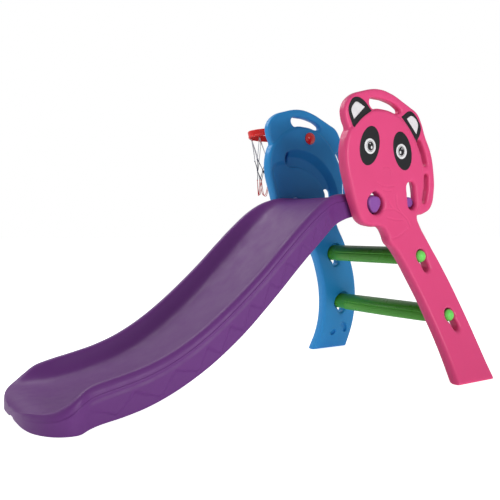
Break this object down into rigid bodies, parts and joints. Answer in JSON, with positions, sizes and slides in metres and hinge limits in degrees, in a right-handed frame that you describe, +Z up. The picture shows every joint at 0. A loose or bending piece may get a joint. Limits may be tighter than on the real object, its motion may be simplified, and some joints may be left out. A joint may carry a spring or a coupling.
{
  "type": "toddler slide",
  "caption": "Freestanding toddler slide: a curved trough hung on pegs between animal-head side panels, with climbing steps behind, finger grips and a bolted-on ball hoop with a net.",
  "frame": {"origin": "on the floor, under the middle of the whole object's bounding box", "axes": "+X runs rearwards from the foot of the chute to the climbing steps, +Y towards the panel that carries the hoop, +Z up"},
  "size_m": [1.1915, 0.7478, 0.769],
  "materials": {
    "purple_plastic": "satin, faint pebble from the mould",
    "pink_plastic": "satin, faint pebble from the mould",
    "blue_plastic": "satin, faint pebble from the mould",
    "green_plastic": "satin, ribbed tread",
    "red_plastic": "satin",
    "red_knob": "polished",
    "net_cord": "twisted cord in white, blue and red",
    "black_sticker": "smooth printed film"
  },
  "bodies": {
    "chute": {"slide_chute": "purple_plastic"},
    "stand": {"left_panel": "pink_plastic", "right_panel": "blue_plastic", "upper_step": "green_plastic", "lower_step": "green_plastic", "hoop_ring": "red_plastic", "hoop_bolt": "red_knob", "hoop_net": "net_cord", "left_front_eye_sticker": "black_sticker", "left_front_ear_sticker": "black_sticker", "left_rear_eye_sticker": "black_sticker", "left_rear_ear_sticker": "black_sticker", "right_front_eye_sticker": "black_sticker", "right_front_ear_sticker": "black_sticker", "right_rear_eye_sticker": "black_sticker", "right_rear_ear_sticker": "black_sticker"}
  },
  "joints": [
    {"name": "fold", "type": "hinge", "parent": "chute", "child": "stand", "pos_m": [0.282, -0.0565, 0.472], "axis": [0, 1, 0], "range_deg": [0, 80]}
  ]
}
